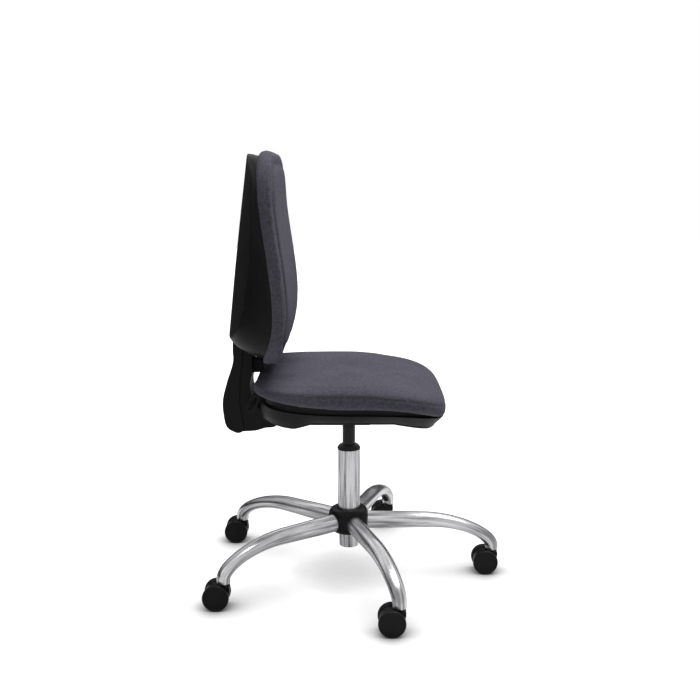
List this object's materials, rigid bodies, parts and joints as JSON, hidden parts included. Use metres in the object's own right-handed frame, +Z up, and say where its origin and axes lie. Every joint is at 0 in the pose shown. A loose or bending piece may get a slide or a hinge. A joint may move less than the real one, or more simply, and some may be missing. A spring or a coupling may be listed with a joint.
{
  "type": "armless office chair",
  "caption": "Armless task chair with a padded seat and high padded back on a bent upright, gas-lift height adjustment and a chrome star base on twin-wheel casters.",
  "frame": {"origin": "middle of the footprint on the floor, at the centre of the bounding box's bottom face", "axes": "+X points the way the sitter faces, +Y to the sitter's left, +Z up"},
  "size_m": [0.6352, 0.6606, 0.927],
  "materials": {
    "leg_chrome": "bright mirror chrome",
    "column_chrome": "bright mirror chrome",
    "hub_paint": "satin black powder coat",
    "bush_plastic": "smooth black moulding",
    "caster_plastic": "satin black nylon",
    "wheel_plastic": "satin black nylon with worn treads",
    "plain_steel": "zinc plated",
    "spring_steel": "oiled spring wire",
    "black_screws": "black zinc",
    "cylinder_paint": "gloss black enamel",
    "mechanism_paint": "black powder coat",
    "bar_paint": "black powder coat",
    "lever_plastic": "satin black moulding",
    "moulded_plastic": "fine-grained black moulding",
    "pan_plastic": "fine-grained black moulding",
    "shell_plastic": "fine-grained black moulding",
    "cover_plastic": "fine-grained black moulding",
    "plywood": "pressed birch plywood",
    "seat_fabric": "woven purple-grey upholstery",
    "back_fabric": "woven purple-grey upholstery"
  },
  "bodies": {
    "base": {"base_hub": "hub_paint", "leg_1": "leg_chrome", "leg_2": "leg_chrome", "leg_3": "leg_chrome", "leg_4": "leg_chrome", "leg_5": "leg_chrome", "stem_sockets": "bush_plastic", "column_tube": "column_chrome", "column_bush": "bush_plastic", "thrust_bearing": "plain_steel"},
    "caster_1": {"caster_hood_1": "caster_plastic", "caster_stem_1": "plain_steel", "caster_axle_1": "plain_steel"},
    "wheels_1": {"caster_wheels_1": "wheel_plastic"},
    "caster_2": {"caster_hood_2": "caster_plastic", "caster_stem_2": "plain_steel", "caster_axle_2": "plain_steel"},
    "wheels_2": {"caster_wheels_2": "wheel_plastic"},
    "caster_3": {"caster_hood_3": "caster_plastic", "caster_stem_3": "plain_steel", "caster_axle_3": "plain_steel"},
    "wheels_3": {"caster_wheels_3": "wheel_plastic"},
    "caster_4": {"caster_hood_4": "caster_plastic", "caster_stem_4": "plain_steel", "caster_axle_4": "plain_steel"},
    "wheels_4": {"caster_wheels_4": "wheel_plastic"},
    "caster_5": {"caster_hood_5": "caster_plastic", "caster_stem_5": "plain_steel", "caster_axle_5": "plain_steel"},
    "wheels_5": {"caster_wheels_5": "wheel_plastic"},
    "piston": {"piston_rod": "plain_steel", "rod_clip": "plain_steel"},
    "seat": {"gas_cylinder": "cylinder_paint", "taper_socket": "mechanism_paint", "mechanism_housing": "mechanism_paint", "mechanism_plate": "mechanism_paint", "seat_bolts": "plain_steel", "lever_block": "moulded_plastic", "seat_shell": "pan_plastic", "seat_board": "plywood", "seat_cushion": "seat_fabric", "pivot_pin": "plain_steel"},
    "valve": {"valve_pin": "plain_steel"},
    "lift_lever": {"height_lever": "lever_plastic"},
    "tilt_lever": {"back_lever": "lever_plastic"},
    "back_support": {"pivot_bushes": "moulded_plastic", "spring_pin": "plain_steel", "tilt_springs": "spring_steel", "back_bar": "bar_paint", "upright_cover_rear": "cover_plastic", "upright_cover_front": "cover_plastic", "cover_screws": "black_screws"},
    "backrest": {"height_carriage": "moulded_plastic", "carriage_screws": "plain_steel", "back_board": "plywood", "back_shell": "shell_plastic", "back_cushion": "back_fabric"}
  },
  "joints": [
    {"name": "caster_swivel_1", "type": "hinge", "parent": "base", "child": "caster_1", "pos_m": [0.30339, 0, 0.053], "axis": [0, 0, 1], "continuous": true},
    {"name": "wheel_spin_1", "type": "hinge", "parent": "caster_1", "child": "wheels_1", "pos_m": [0.28869, 0, 0.0275], "axis": [0, 1, 0], "continuous": true},
    {"name": "caster_swivel_2", "type": "hinge", "parent": "base", "child": "caster_2", "pos_m": [0.08228, 0.30434, 0.053], "axis": [0, 0, 1], "continuous": true},
    {"name": "wheel_spin_2", "type": "hinge", "parent": "caster_2", "child": "wheels_2", "pos_m": [0.06758, 0.30434, 0.0275], "axis": [0, 1, 0], "continuous": true},
    {"name": "caster_swivel_3", "type": "hinge", "parent": "base", "child": "caster_3", "pos_m": [-0.27549, 0.18809, 0.053], "axis": [0, 0, 1], "continuous": true},
    {"name": "wheel_spin_3", "type": "hinge", "parent": "caster_3", "child": "wheels_3", "pos_m": [-0.29019, 0.18809, 0.0275], "axis": [0, 1, 0], "continuous": true},
    {"name": "caster_swivel_4", "type": "hinge", "parent": "base", "child": "caster_4", "pos_m": [-0.27549, -0.18809, 0.053], "axis": [0, 0, 1], "continuous": true},
    {"name": "wheel_spin_4", "type": "hinge", "parent": "caster_4", "child": "wheels_4", "pos_m": [-0.29019, -0.18809, 0.0275], "axis": [0, 1, 0], "continuous": true},
    {"name": "caster_swivel_5", "type": "hinge", "parent": "base", "child": "caster_5", "pos_m": [0.08228, -0.30434, 0.053], "axis": [0, 0, 1], "continuous": true},
    {"name": "wheel_spin_5", "type": "hinge", "parent": "caster_5", "child": "wheels_5", "pos_m": [0.06758, -0.30434, 0.0275], "axis": [0, 1, 0], "continuous": true},
    {"name": "seat_swivel", "type": "hinge", "parent": "base", "child": "piston", "pos_m": [-0.01661, 0, 0.073], "axis": [0, 0, 1], "continuous": true},
    {"name": "seat_height", "type": "slide", "parent": "piston", "child": "seat", "axis": [0, 0, 1], "range_m": [-0.04, 0.08]},
    {"name": "lift_lever_pull", "type": "hinge", "parent": "seat", "child": "lift_lever", "pos_m": [-0.01661, 0.0475, 0.3748], "axis": [1, 0, 0], "range_deg": [0, 5], "stiffness_Nm_per_rad": 2, "springref_deg": -5.73},
    {"name": "valve_press", "type": "slide", "parent": "seat", "child": "valve", "axis": [0, 0, 1], "range_m": [-0.0044, 0]},
    {"name": "tilt_lever_pull", "type": "hinge", "parent": "seat", "child": "tilt_lever", "pos_m": [-0.16661, -0.045, 0.401], "axis": [0, 1, 0], "range_deg": [0, 12], "stiffness_Nm_per_rad": 0.6, "springref_deg": -8.59},
    {"name": "back_tilt", "type": "hinge", "parent": "seat", "child": "back_support", "pos_m": [-0.12661, 0, 0.363], "axis": [0, -1, 0], "range_deg": [0, 15], "stiffness_Nm_per_rad": 60, "springref_deg": -20.05},
    {"name": "back_height", "type": "slide", "parent": "back_support", "child": "backrest", "axis": [0, 0, 1], "range_m": [0, 0.06]}
  ],
  "couplings": [
    {"joint": "valve_press", "follows": "lift_lever_pull", "m_per_rad": -0.0475}
  ]
}
